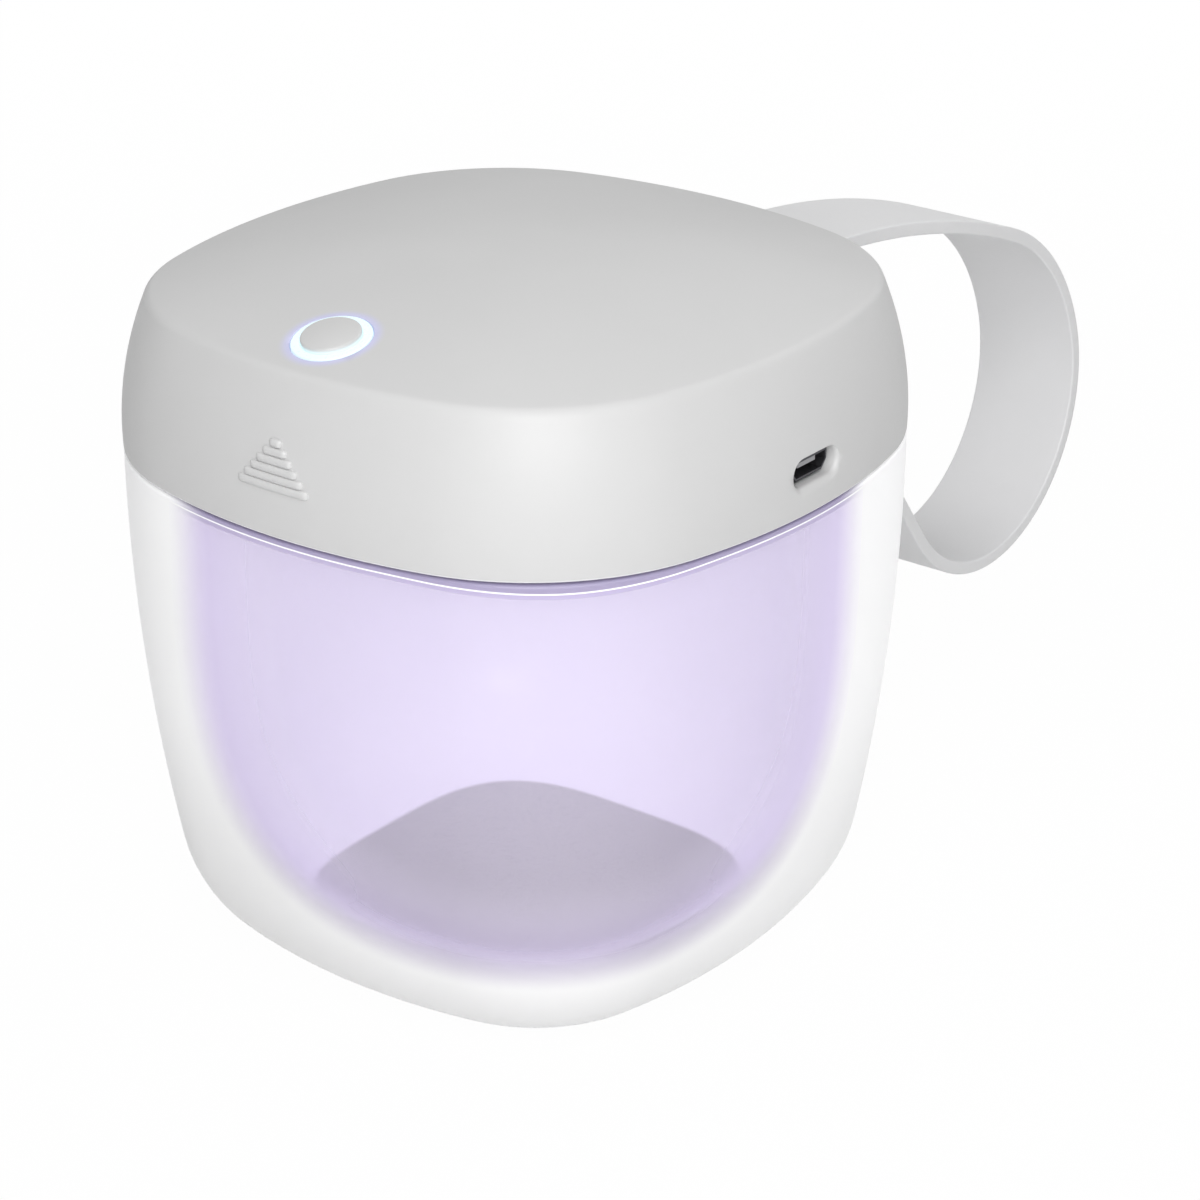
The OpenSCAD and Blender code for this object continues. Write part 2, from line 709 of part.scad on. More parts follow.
// The runs and bends, without the eye
function strap_run(grow) = concat(
    arc(run_c, run_r + grow, 2, run_turn, 3),
    arc(bend_c, bend_r + grow, run_turn + 5, low_a, 5),
    arc(low_c, low_r + grow, low_a + 5, end_a, 5));

// The opening of the loop ends at the outside of the eye, which stays a whole ring
module strap() {
    web_a = acos((bar_r + pin_gap) / eye_r);
    color("lightgray") difference() {
        along_x(-strap_w / 2, strap_w) translate([bar_y, bar_z])
            polygon(concat(arc([0, 0], eye_r, end_a - 360, 0, 8), strap_run(strap_t / 2)));
        along_x(-strap_w / 2 - 1, strap_w + 2) translate([bar_y, bar_z]) polygon(concat(
            reversed(arc([0, 0], eye_r, web_a, end_a - web_a, 12)), strap_run(-strap_t / 2)));
        rod_x(bar_r + pin_gap, -strap_w / 2 - 1, strap_w + 2, bar_y, bar_z);
    }
}

base_shell();
chamber_liner();
lid_magnet();
hinge_pins();
lid_shell();
light_ring();
button_cap();
switch_board();
tact_switch();
ring_lamps();
main_board();
board_chips();
port_can();
port_tongue();
lid_sensor();
battery();
battery_pad();
battery_leads();
lamp_board();
uv_lamps();
lamp_window();
lamp_leads();
inner_cover();
lid_seal();
cover_screws();
strap_bar();
strap();
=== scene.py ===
"""Looks of the pacifier sterilizer case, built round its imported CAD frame.

Sizes repeat the named values of the CAD source, in millimetres; meshes are made in metres.
Front is -Y, the charging port is at +X, the hinge and the strap are at +Y.
"""
from math import acos, asin, atan2, cos, degrees, hypot, radians, sin, sqrt

import bmesh
import bpy
import numpy as np
from mathutils import Matrix, Vector


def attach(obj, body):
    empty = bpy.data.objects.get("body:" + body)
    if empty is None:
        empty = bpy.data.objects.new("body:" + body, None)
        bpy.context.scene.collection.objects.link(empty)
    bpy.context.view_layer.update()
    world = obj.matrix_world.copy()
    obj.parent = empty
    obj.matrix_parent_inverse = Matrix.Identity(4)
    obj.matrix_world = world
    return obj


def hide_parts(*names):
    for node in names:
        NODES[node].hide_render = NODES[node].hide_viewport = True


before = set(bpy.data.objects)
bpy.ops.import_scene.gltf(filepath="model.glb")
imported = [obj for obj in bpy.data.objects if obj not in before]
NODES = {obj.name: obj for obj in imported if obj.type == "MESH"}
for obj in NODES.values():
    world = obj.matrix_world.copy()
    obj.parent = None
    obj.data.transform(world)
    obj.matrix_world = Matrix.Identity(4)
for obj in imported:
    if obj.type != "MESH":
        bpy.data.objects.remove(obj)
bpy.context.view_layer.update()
MM = 0.001

# ---------- Sizes of the case ----------
HALF_W, SIDE_R, CORNER_R = 46.0, 86.0, 30.7
SIDE_STEPS, CORNER_STEPS = 32, 30
PART_Z, BASE_LEAN, BASE_BELLY = 68.5, 7.9, 2.1
FOOT_IN, FOOT_UP = 11.0, 14.2
SHELL_WALL, RIM_WALL, LEDGE_DROP = 2.4, 1.8, 2.1
POST_AT, POST_R = 14.0, 3.0
LINER_GAP, LINER_WALL, CHAMBER_FLOOR = 2.2, 1.4, 5.2
LINER_IN, LINER_UP, FLANGE_T, FLANGE_GAP = 13.0, 12.0, 1.0, 0.2
LID_H, LID_LEAN, LID_BELLY, CROWN = 20.25, 3.7, 1.25, 6.2
EDGE_SOFT, LID_WALL, PART_GAP = 0.8, 2.0, 0.3
RIB_N, RIB_L, RIB_UP, RIB_PITCH, RIB_OUT = 6, 11.0, 6.9, 1.04, 0.45
HINGE_OUT, KNUCKLE_R, PIN_R, PIN_GAP = 2.0, 2.6, 1.0, 0.05
HINGE_GAP, LID_KNUCKLE, BASE_KNUCKLE, KNUCKLE_GAP = 0.5, 4.6, 3.0, 0.3
STRAP_W, STRAP_T, BAR_R, BAR_UP = 17.0, 2.0, 1.5, 7.9
EYE_GAP, EAR_GAP, EAR_T = 0.7, 0.4, 2.4
RUN_R, RUN_TURN, BEND_R, BEND_TURN, LOW_R = 150.0, 22.0, 33.0, 50.0, 23.5
BUTTON_AT, CAP_R, CAP_SIDE, CAP_UP = 34.7, 3.75, 0.65, 1.0
RING_R, CAP_GAP, BOARD_DEPTH = 5.0, 0.1, 6.2
PORT_Y, PORT_UP, PORT_W, PORT_H = 0.5, 5.8, 9.0, 3.5
COVER_GAP, COVER_UP, COVER_T = 0.2, 0.8, 2.0
SKIRT_DROP, SKIRT_T, SKIRT_GAP = 3.5, 1.6, 0.6
SCREW_AT, SCREW_R, BOSS_R, HEAD_H, HEAD_SINK = 24.0, 1.1, 3.0, 1.0, 0.1
WINDOW_R, WINDOW_T, LAMP_UP = 12.0, 1.2, 2.2
BOARD_DROP, STANDOFF_R, STANDOFF_IN, STANDOFF_YS = 2.45, 1.5, 3.0, (-10, 12)
PORT_DEPTH, BOARD_GAP = 1.3, 3.0

SIDE_C = HALF_W - SIDE_R
CORNER_C = (SIDE_C + sqrt(2 * (SIDE_R - CORNER_R) ** 2 - SIDE_C**2)) / 2
SIDE_A = degrees(atan2(CORNER_C, CORNER_C - SIDE_C))
LEDGE_Z, LID_Z, EDGE_Z = PART_Z - LEDGE_DROP, PART_Z + PART_GAP, PART_Z + LID_H
COVER_Z = PART_Z + COVER_UP
COVER_TOP = COVER_Z + COVER_T
SEAL_Z = LEDGE_Z + FLANGE_T + 0.3
LINER_OUT = SHELL_WALL + LINER_GAP
LINER_IN_WALL = LINER_OUT + LINER_WALL
SKIRT_OUT = LINER_IN_WALL + SKIRT_GAP
SEAL_IN, SEAL_OUT = SKIRT_OUT - 0.05, RIM_WALL + 1.2
LAMP_RING = WINDOW_R + 2
HINGE_Y, HINGE_Z = HALF_W + HINGE_OUT, PART_Z + PART_GAP / 2
EYE_R = BAR_R + PIN_GAP + STRAP_T
EYE_MID = EYE_R - STRAP_T / 2
BAR_Y, BAR_Z = HALF_W + EYE_GAP + EYE_R, PART_Z + BAR_UP
EAR_R, EAR_X = EYE_R - 0.2, STRAP_W / 2 + EAR_GAP
HINGE_X = EAR_X + EAR_T + HINGE_GAP + LID_KNUCKLE / 2 + KNUCKLE_GAP + BASE_KNUCKLE
TOP_HALF = HALF_W - LID_LEAN
BUTTON_F = BUTTON_AT / TOP_HALF
BUTTON_Z = EDGE_Z + CROWN * (1 - BUTTON_F**2)
BUTTON_TILT = atan2(2 * CROWN * BUTTON_F, TOP_HALF)
LIP_T, FLANGE_H, FLANGE_W, CAP_FLANGE = 1.4, 1.2, 1.0, 0.8
COLLAR_R = RING_R + FLANGE_W + CAP_GAP + 1.1
AT_BUTTON = Matrix.Translation((0, -BUTTON_AT, BUTTON_Z)) @ Matrix.Rotation(BUTTON_TILT, 4, "X")


def add_object(name, data):
    obj = bpy.data.objects.new(name, data)
    bpy.context.scene.collection.objects.link(obj)
    return obj


# ---------- Camera, as fitted to the photograph ----------
CAM_AT = (272.1, -334.5, 237.9)
CAM_RIGHT, CAM_UP = (0.791, 0.612, 0.0), (-0.250, 0.324, 0.912)
CAM_LENS = 108.68


def make_camera():
    data = bpy.data.cameras.new("camera")
    data.lens, data.sensor_width = CAM_LENS, 36.0
    data.clip_start, data.clip_end = 0.01, 10.0
    cam = add_object("camera", data)
    right = Vector(CAM_RIGHT).normalized()
    up = Vector(CAM_UP)
    up = (up - right * up.dot(right)).normalized()
    turn = Matrix((right, up, right.cross(up))).transposed().to_4x4()
    cam.matrix_world = Matrix.Translation(Vector(CAM_AT) * MM) @ turn
    bpy.context.scene.camera = cam


# ---------- Outline of the case ----------
def plan_angles():
    out = []
    for k in range(4):
        out += [90 * k + SIDE_A * (2 * i / SIDE_STEPS - 1) for i in range(SIDE_STEPS)]
        start = 90 * k + SIDE_A
        out += [start + (90 - 2 * SIDE_A) * i / CORNER_STEPS for i in range(CORNER_STEPS)]
    return out


ANGLES = plan_angles()


def plan_point(t, inset):
    k = round(t / 90)
    u = t - 90 * k
    side = abs(u) <= SIDE_A + 1e-9
    r = (SIDE_R if side else CORNER_R) - inset
    cx, cy = (SIDE_C, 0) if side else (CORNER_C, CORNER_C if u > 0 else -CORNER_C)
    a = radians(u)
    x, y = cx + r * cos(a), cy + r * sin(a)
    b = radians(90 * k)
    return x * cos(b) - y * sin(b), x * sin(b) + y * cos(b)


def ring(inset, z):
    return np.array([(*plan_point(t, inset), z) for t in ANGLES])


def base_inset(z):
    t = 1 - z / PART_Z
    return BASE_LEAN * t - 4 * BASE_BELLY * t * (1 - t)


def lid_inset(z):
    t = (z - PART_Z) / LID_H
    return LID_LEAN * t - 4 * LID_BELLY * t * (1 - t)


PORT_Z = PART_Z + PORT_UP
PORT_X = HALF_W - lid_inset(PORT_Z)


def crown_ring(wall, f, drop):
    r = ring(LID_LEAN + wall, EDGE_Z)
    r[:, :2] *= f
    r[:, 2] = EDGE_Z + CROWN * (1 - f * f) - drop
    return r


def foot_profile(wall, floor_z, rise, run, steps):
    """(inset, z) of a cup's rounded foot, from its flat floor out to its wall."""
    out = []
    for i in range(steps + 1):
        a = radians(90 * i / steps)
        z = floor_z + rise * (1 - cos(a))
        out.append((base_inset(z) + wall + run * (1 - sin(a)), z))
    return out


def wall_profile(inset_of, wall, z0, z1, steps):
    return [(inset_of(z) + wall, z) for z in np.linspace(z0, z1, steps)]


def curve(a, corner, b, shares):
    """Points of the curve from a to b that turns at the corner, at shares of its way."""
    return [a * (1 - s) ** 2 + 2 * corner * s * (1 - s) + b * s * s for s in shares]


def soften(before, corner, after, r, steps=4):
    """Points that round a profile's corner between its neighbours, over the distance r."""
    c = np.array(corner, float)
    a = np.array(before, float) - c
    b = np.array(after, float) - c
    a, b = c + a * min(r / np.linalg.norm(a), 0.9), c + b * min(r / np.linalg.norm(b), 0.9)
    return [tuple(p) for p in curve(a, c, b, np.linspace(0, 1, steps + 1))]


def softened(path, radii):
    """A profile whose corners, given as {index: radius}, are rounded."""
    out = []
    for i, p in enumerate(path):
        r = radii.get(i)
        out += soften(path[i - 1], p, path[(i + 1) % len(path)], r) if r else [tuple(p)]
    return out


# ---------- Meshes ----------
def skin(rings, closed=False):
    """Points and faces over rings of equal length; open skins are capped at both ends."""
    n, m = len(rings[0]), len(rings)
    faces = []
    for j in range(m if closed else m - 1):
        a, b = j * n, ((j + 1) % m) * n
        faces += [(a + i, a + (i + 1) % n, b + (i + 1) % n, b + i) for i in range(n)]
    if not closed:
        faces += [tuple(range(n))[::-1], tuple((m - 1) * n + i for i in range(n))]
    return np.concatenate(rings), faces


def new_object(name, points, faces, place=None):
    mesh = bpy.data.meshes.new(name)
    points = np.asarray(points, float)
    if place is not None:
        points = np.array([place @ Vector(p) for p in points])
    mesh.from_pydata([tuple(p) for p in points * MM], [], faces)
    tidy_normals(mesh)
    return add_object(name, mesh)


def tidy_normals(mesh):
    bm = bmesh.new()
    bm.from_mesh(mesh)
    bmesh.ops.recalc_face_normals(bm, faces=bm.faces)
    bm.to_mesh(mesh)
    bm.free()


def evaluate(obj):
    """Applies the object's modifiers to its mesh."""
    bpy.context.view_layer.update()
    graph = bpy.context.evaluated_depsgraph_get()
    mesh = bpy.data.meshes.new_from_object(obj.evaluated_get(graph))
    obj.modifiers.clear()
    obj.data = mesh


def carve(obj, cutters, operation="DIFFERENCE"):
    for c in cutters:
        m = obj.modifiers.new("cut", "BOOLEAN")
        m.object, m.operation, m.solver = c, operation, "EXACT"
    evaluate(obj)
    for c in cutters:
        bpy.data.objects.remove(c)


def bevel(obj, width, segments=3, angle=30):
    m = obj.modifiers.new("bevel", "BEVEL")
    m.width, m.segments = width * MM, segments
    m.limit_method, m.angle_limit = "ANGLE", radians(angle)
    evaluate(obj)


def piece(obj, body, material, replaces=(), sharp=35):
    """Finishes a piece: smooth shading, its material, its body, and hides the CAD parts that it
    replaces.
    """
    obj.data.shade_smooth()
    obj.data.set_sharp_from_angle(angle=radians(sharp))
    obj.data.materials.clear()
    obj.data.materials.append(material)
    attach(obj, body)
    if replaces:
        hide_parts(*replaces)
    return obj


def square_places(half):
    """Four places at the corners of a square about Z."""
    return [Matrix.Translation((x, y, 0)) for x in (-half, half) for y in (-half, half)]


def circle(r, n):
    return [(r * cos(2 * np.pi * i / n), r * sin(2 * np.pi * i / n)) for i in range(n)]


def lathe(profile, n=96):
    """Rings about Z of a profile of (r, z) points."""
    return [np.array([(x, y, z) for x, y in circle(max(r, 1e-4), n)]) for r, z in profile]


def solid_rod(name, r, z0, z1, place=None, n=64):
    return new_object(name, *skin(lathe([(r, z0), (r, z1)], n)), place)


def extruded(name, outline, x0, x1):
    """Outline in the YZ plane, drawn out along X."""
    rings = [np.array([(x, y, z) for y, z in outline]) for x in (x0, x1)]
    return new_object(name, *skin(rings))


def rod_along_x(name, r, x0, x1, y, z, n=48):
    return extruded(name, [(y + a, z + b) for a, b in circle(r, n)], x0, x1)


def joined(name, objects):
    """One object that holds the meshes of several."""
    bm = bmesh.new()
    for o in objects:
        bm.from_mesh(o.data)
        bpy.data.objects.remove(o)
    mesh = bpy.data.meshes.new(name)
    bm.to_mesh(mesh)
    bm.free()
    return add_object(name, mesh)


# ---------- Materials ----------
def srgb(r, g, b):
    def lin(c):
        c /= 255
        return c / 12.92 if c <= 0.04045 else ((c + 0.055) / 1.055) ** 2.4

    return lin(r), lin(g), lin(b), 1.0


class Shader:
    """A node tree with short calls for the nodes that the materials use."""

    def __init__(self, name):
        self.material = bpy.data.materials.new(name)
        self.material.use_nodes = True
        self.tree = self.material.node_tree
        self.bsdf = self.tree.nodes["Principled BSDF"]
        self.coords = self.node("ShaderNodeTexCoord").outputs["Object"]

    def node(self, kind, **settings):
        n = self.tree.nodes.new(kind)
        for k, v in settings.items():
            setattr(n, k, v)
        return n

    def put(self, socket, value):
        if isinstance(value, bpy.types.NodeSocket):
            self.tree.links.new(value, socket)
        else:
            socket.default_value = value

    def set(self, **values):
        for k, v in values.items():
            self.put(self.bsdf.inputs[k.replace("_", " ")], v)
        return self

    def math(self, operation, a, b=0.0, c=0.0):
        n = self.node("ShaderNodeMath", operation=operation)
        for s, v in zip(n.inputs, (a, b, c)):
            self.put(s, v)
        return n.outputs[0]

    def noise(self, scale, detail=2.0, rough=0.5):
        n = self.node("ShaderNodeTexNoise")
        n.inputs["Scale"].default_value = scale
        n.inputs["Detail"].default_value = detail
        n.inputs["Roughness"].default_value = rough
        self.put(n.inputs["Vector"], self.coords)
        return n.outputs[0]

    def span(self, value, a, b, to_a=0.0, to_b=1.0, kind="LINEAR"):
        """Maps the value from the span a to b onto to_a to to_b, held at both ends."""
        n = self.node("ShaderNodeMapRange", interpolation_type=kind)
        for s, v in zip(n.inputs, (value, a, b, to_a, to_b)):
            self.put(s, v)
        return n.outputs[0]

    def ease(self, *args):
        """A span with soft ends."""
        return self.span(*args, kind="SMOOTHSTEP")

    def mix(self, share, a, b):
        """Colour between a and b."""
        n = self.node("ShaderNodeMix", data_type="RGBA")
        self.put(n.inputs["Factor"], share)
        self.put(n.inputs[6], a)
        self.put(n.inputs[7], b)
        return n.outputs[2]

    def lerp(self, share, a, b):
        """Number between a and b."""
        n = self.node("ShaderNodeMix", data_type="FLOAT")
        for k, v in ((0, share), (2, a), (3, b)):
            self.put(n.inputs[k], v)
        return n.outputs[0]

    def under(self, value, limit, soft):
        """1 where the value is below the limit, 0 above it, with a soft step between."""
        return self.ease(value, limit + soft, limit - soft)

    def base_colour(self):
        return self.bsdf.inputs["Base Color"].links[0].from_socket

    def axes(self):
        n = self.node("ShaderNodeSeparateXYZ")
        self.put(n.inputs[0], self.coords)
        return n.outputs

    def bump(self, height, distance):
        n = self.node("ShaderNodeBump")
        n.inputs["Strength"].default_value = 1.0
        n.inputs["Distance"].default_value = distance * MM
        self.put(n.inputs["Height"], height)
        self.put(self.bsdf.inputs["Normal"], n.outputs[0])
        return self


def plastic(name, light, dark, rough=0.4, grain=2600.0, depth=0.006, spread=0.05):
    """Moulded plastic: two close tones in soft clouds, fine spark texture, uneven gloss."""
    s = Shader(name)
    clouds = s.noise(28.0, 3.0)
    fine = s.noise(grain, 2.0, 0.6)
    s.set(Base_Color=s.mix(s.span(clouds, 0.35, 0.65), dark, light))
    s.set(Roughness=s.span(fine, 0.3, 0.7, rough - spread, rough + spread))
    return s.bump(fine, depth)


def metal(name, light, dark, rough=0.28):
    s = plastic(name, light, dark, rough, 1800.0, 0.004, 0.08)
    return s.set(Metallic=1.0)


# Window of the base: a clear, rounded patch about the near corner, in (u, z) on its two sides
WIN_U, WIN_Z, WIN_A, WIN_B, WIN_N, WIN_EDGE = -2.0, 62.0, 40.6, 47.8, 3.4, 0.065
WIN_TINT = srgb(229, 220, 245), srgb(243, 240, 247)
WIN_ALPHA, WIN_FOOT_ALPHA = (0.45, 0.15), 0.2
# Strengths of the painted glow: of the body, the extra on the body's +X, +Y side, of the window
# and of the window's foot
BODY_GLOW, RIGHT_GLOW, WINDOW_GLOW, FOOT_GLOW = 0.14, 0.07, 0.095, 0.07
GLOW_WHITE = srgb(252, 252, 255)
# Bands under the parting line at the window: depth, colour, alpha and glow of the flange's edge,
# the painted highlight line of the rim's top edge and the painted shadow of the lid, and the
# height of that shadow at the corner and at the sides
BANDS = ((0.75, srgb(186, 176, 208), 0.85, 0.04),
         (0.2, GLOW_WHITE, 0.9, 0.15),
         (0.0, srgb(166, 158, 188), 0.9, 0.0))
BAND_SHADE, BAND_SOFT = (1.0, 0.4), 0.05


def window_distance(s):
    """Distance from the window's middle, 1 on its edge, and 1 on the near half of the case."""
    x, y, z = s.axes()
    u = s.math("MULTIPLY", s.math("ADD", x, y), 1 / sqrt(2))
    near = s.ease(s.math("SUBTRACT", x, y), -8 * MM, 14 * MM)
    across = s.math("ABSOLUTE", s.math("MULTIPLY_ADD", u, 1 / (WIN_A * MM), -WIN_U / WIN_A))
    down = s.math("MAXIMUM", s.math("MULTIPLY_ADD", z, -1 / (WIN_B * MM), WIN_Z / WIN_B), 0.0)
    total = s.math("ADD", s.math("POWER", across, WIN_N), s.math("POWER", down, WIN_N))
    return s.math("POWER", total, 1 / WIN_N), near, u


def base_plastic():
    s = plastic("base_plastic", srgb(240, 240, 240), srgb(237, 237, 237), 0.36, 2600.0, 0.002)
    far, near, u = window_distance(s)
    z = s.axes()[2]
    clear = s.math("MULTIPLY", s.under(far, 1.0, WIN_EDGE), near)
    middle = s.ease(far, 1.0, 0.7)
    body = s.base_colour()
    tint = s.mix(middle, *WIN_TINT)
    edge = s.ease(z, 10 * MM, 32 * MM, WIN_FOOT_ALPHA, WIN_ALPHA[0])
    thin = s.lerp(middle, edge, WIN_ALPHA[1])
    # Painted light: the milky wall glows, less so towards the foot, for the lamp under the lid
    # that shines through it, and glows more towards the +X, +Y side, where it stands in for the
    # light that falls on that side
    up = s.ease(z, 6 * MM, 42 * MM, 0.0, BODY_GLOW)
    up = s.math("ADD", up, s.ease(u, 10 * MM, 45 * MM, 0.0, RIGHT_GLOW))
    # Painted light: the window glows in its tint, less towards the foot
    glow = s.ease(z, 8 * MM, 26 * MM, FOOT_GLOW, WINDOW_GLOW)
    # Depth under the parting line, less the height of the shadow band, in millimetres
    shade = s.ease(s.math("ABSOLUTE", u), 0.0, 22 * MM, *BAND_SHADE)
    depth = s.math("SUBTRACT", s.math("MULTIPLY_ADD", z, -1 / MM, PART_Z), shade)
    # Painted bands at the parting line: the flange's edge, a painted highlight line and a painted
    # shadow
    for limit, colour, alpha, light in BANDS:
        share = s.under(depth, limit, BAND_SOFT)
        tint = s.mix(share, tint, colour)
        thin, glow = s.lerp(share, thin, alpha), s.lerp(share, glow, light)
    s.set(Base_Color=s.mix(clear, body, tint), Alpha=s.lerp(clear, 1.0, thin))
    s.set(Emission_Color=s.mix(clear, GLOW_WHITE, tint), Specular_IOR_Level=0.3)
    s.set(Emission_Strength=s.lerp(clear, up, glow))
    return s.material


# Painted shade on the chamber's floor: a dark patch, which climbs the rounded foot at the near
# corner
FLOOR_X, FLOOR_Y, FLOOR_A, FLOOR_N, FLOOR_SLANT, FLOOR_TOP = 2.4, -2.2, 24.6, 3.5, 1.3, 5.0
FLOOR_SHADE_TONES = srgb(118, 106, 132), srgb(80, 58, 90)


def liner_plastic():
    s = plastic("liner_plastic", srgb(229, 222, 242), srgb(224, 217, 239), 0.3, 1500.0, 0.0015)
    x, y, z = s.axes()
    over = s.math("SUBTRACT", z, CHAMBER_FLOOR * MM)
    sides = []
    for across, middle, slant in ((x, FLOOR_X, -FLOOR_SLANT), (y, FLOOR_Y, FLOOR_SLANT)):
        across = s.math("ADD", across, s.math("MULTIPLY", over, slant))
        share = s.math("MULTIPLY_ADD", across, 1 / (FLOOR_A * MM), -middle / FLOOR_A)
        sides.append(s.math("POWER", s.math("ABSOLUTE", share), FLOOR_N))
    low = s.under(z, (CHAMBER_FLOOR + FLOOR_TOP) * MM, MM)
    # Painted shade: the dark patch on the floor, in tones that darken towards the near corner
    floor = s.math("MULTIPLY", s.under(s.math("ADD", *sides), 1.0, 0.08), low)
    tone = s.mix(s.span(s.math("SUBTRACT", x, y), -30 * MM, 40 * MM), *FLOOR_SHADE_TONES)
    far, near, _ = window_distance(s)
    clear = s.math("MULTIPLY", s.under(far, 1.05, 0.1), near)
    wall = s.base_colour()
    s.set(Base_Color=s.mix(floor, wall, tone))
    s.set(Alpha=s.math("MAXIMUM", s.lerp(clear, 0.94, 0.12), floor), Specular_IOR_Level=0.3)
    # Painted light: the liner's walls glow lilac for the lamp-lit chamber; the painted shade patch
    # does not glow
    s.set(Emission_Color=srgb(228, 219, 244), Emission_Strength=s.lerp(floor, 0.25, 0.0))
    return s.material


def lid_plastic():
    s = plastic("lid_plastic", srgb(203, 203, 203), srgb(200, 200, 200), 0.46, 2600.0, 0.006)
    body = s.base_colour()
    z = s.axes()[2]
    # The top is more matt than the sides
    gloss = s.bsdf.inputs["Roughness"].links[0].from_socket
    matt = s.ease(z, (EDGE_Z - 1) * MM, (EDGE_Z + 0.5) * MM, 0.0, 0.22)
    s.set(Roughness=s.math("ADD", gloss, matt))
    # Painted highlight: a thin light line along the lid's moulded lower edge
    lip = s.under(z, (LID_Z + 0.3) * MM, 0.08 * MM)
    body = s.mix(s.math("MULTIPLY", lip, 0.8), body, srgb(240, 240, 242))
    # Painted light: the halo of the light ring, painted bluish and glowing on the lid round the
    # button
    d = s.node("ShaderNodeVectorMath", operation="DISTANCE")
    s.put(d.inputs[0], s.coords)
    d.inputs[1].default_value = tuple(v * MM for v in (0, -BUTTON_AT, BUTTON_Z))
    halo = s.span(d.outputs["Value"], (RING_R + 1.8) * MM, RING_R * MM, kind="SMOOTHERSTEP")
    s.set(Base_Color=s.mix(s.math("MULTIPLY", halo, 0.4), body, srgb(184, 184, 238)))
    s.set(Emission_Color=srgb(170, 172, 255), Emission_Strength=s.math("MULTIPLY", halo, 0.09))
    return s.set(Specular_IOR_Level=0.4).material


def glow_plastic():
    s = plastic("ring_glow", srgb(196, 198, 202), srgb(190, 193, 198), 0.3)
    s.set(Emission_Color=srgb(218, 252, 255), Emission_Strength=0.5)
    return s.material


def button_plastic():
    """Cap in the lid's grey, with the ring's light painted on as a glow round the foot of its
    side.
    """
    s = plastic("button_plastic", srgb(201, 201, 200), srgb(197, 197, 197), 0.4)
    axis = AT_BUTTON.to_3x3() @ Vector((0, 0, 1))
    d = s.node("ShaderNodeVectorMath", operation="DOT_PRODUCT")
    s.put(d.inputs[0], s.coords)
    d.inputs[1].default_value = tuple(axis)
    up = s.math("SUBTRACT", d.outputs["Value"], AT_BUTTON.translation.dot(axis) * MM)
    # Painted light: the cap's side glows near its foot, for the light ring round it
    lit = s.ease(up, 0.6 * MM, 0.05 * MM, 0.0, 0.4)
    return s.set(Emission_Color=srgb(200, 246, 255), Emission_Strength=lit).material


def strap_rubber():
    s = plastic("strap_rubber", srgb(219, 219, 220), srgb(216, 216, 217), 0.5, 1900.0, 0.002)
    s.set(Sheen_Weight=0.15)
    return s.material


MATERIALS = {}
# Key, finish, name, light and dark tone, then roughness, grain and its depth where they
# differ from the finish's own
SIMPLE_MATERIALS = (
    ("cover", plastic, "cover_plastic", (232, 232, 235), (225, 225, 229), 0.38),
    ("seal", plastic, "seal_rubber", (222, 210, 238), (214, 202, 230), 0.55),
    ("steel", metal, "steel", (200, 200, 205), (176, 176, 182)),
    ("board", plastic, "board_resin", (38, 98, 62), (30, 82, 50), 0.35, 900.0),
    ("board_white", plastic, "board_enamel", (240, 240, 238), (228, 228, 226), 0.3),
    ("black", plastic, "black_resin", (42, 42, 45), (28, 28, 31), 0.4),
    ("tongue", plastic, "tongue_resin", (158, 158, 160), (146, 146, 150), 0.45),
    ("can", metal, "port_steel", (92, 92, 96), (80, 80, 84), 0.5),
    ("lamp", plastic, "lamp_resin", (246, 246, 238), (236, 236, 226), 0.3),
    ("foil", metal, "battery_foil", (206, 208, 212), (188, 190, 196), 0.4),
    ("foam", plastic, "foam", (96, 96, 100), (76, 76, 80), 0.9, 1200.0, 0.08),
    ("lens", plastic, "lamp_lens", (228, 232, 250), (220, 224, 246), 0.12),
    ("lead_red", plastic, "lead_red", (176, 40, 36), (150, 30, 28), 0.45),
    ("lead_white", plastic, "lead_white", (232, 232, 228), (214, 214, 210), 0.45),
)


def make_materials():
    m = MATERIALS
    m["base"], m["liner"], m["lid"] = base_plastic(), liner_plastic(), lid_plastic()
    m["glow"], m["strap"] = glow_plastic(), strap_rubber()
    m["button"] = button_plastic()
    for key, finish, name, light, dark, *rest in SIMPLE_MATERIALS:
        m[key] = finish(name, srgb(*light), srgb(*dark), *rest).material


def dress(node, material):
    obj = NODES[node]
    if not obj.material_slots:
        obj.data.materials.append(MATERIALS[material])
    for s in obj.material_slots:
        s.material = MATERIALS[material]


# ---------- Base ----------
def base_body():
    foot = foot_profile(0, 0, FOOT_UP, FOOT_IN, 14)
    wall = wall_profile(base_inset, 0, FOOT_UP, PART_Z - 0.8, 30)[1:]
    rim = [(0, PART_Z), (RIM_WALL, PART_Z), (RIM_WALL, LEDGE_Z),
           (base_inset(LEDGE_Z) + SHELL_WALL, LEDGE_Z)]
    inner = wall_profile(base_inset, SHELL_WALL, LEDGE_Z - 0.6, FOOT_UP, 28)
    floor = foot_profile(SHELL_WALL, SHELL_WALL, FOOT_UP - SHELL_WALL, FOOT_IN, 12)[::-1][1:]
    path = foot + wall + rim + inner + floor
    k = len(foot) + len(wall)
    path = softened(path, {k: 0.4, k + 1: 0.3, k + 2: 0.2, k + 3: 0.25})
    shell = new_object("base_body", *skin([ring(*p) for p in path]))
    piece(shell, "base", MATERIALS["base"], ["base_shell"])
    top = CHAMBER_FLOOR - LINER_WALL
    posts = [solid_rod("post", POST_R, SHELL_WALL / 2, top, at) for at in square_places(POST_AT)]
    piece(joined("base_posts", posts), "base", MATERIALS["base"])


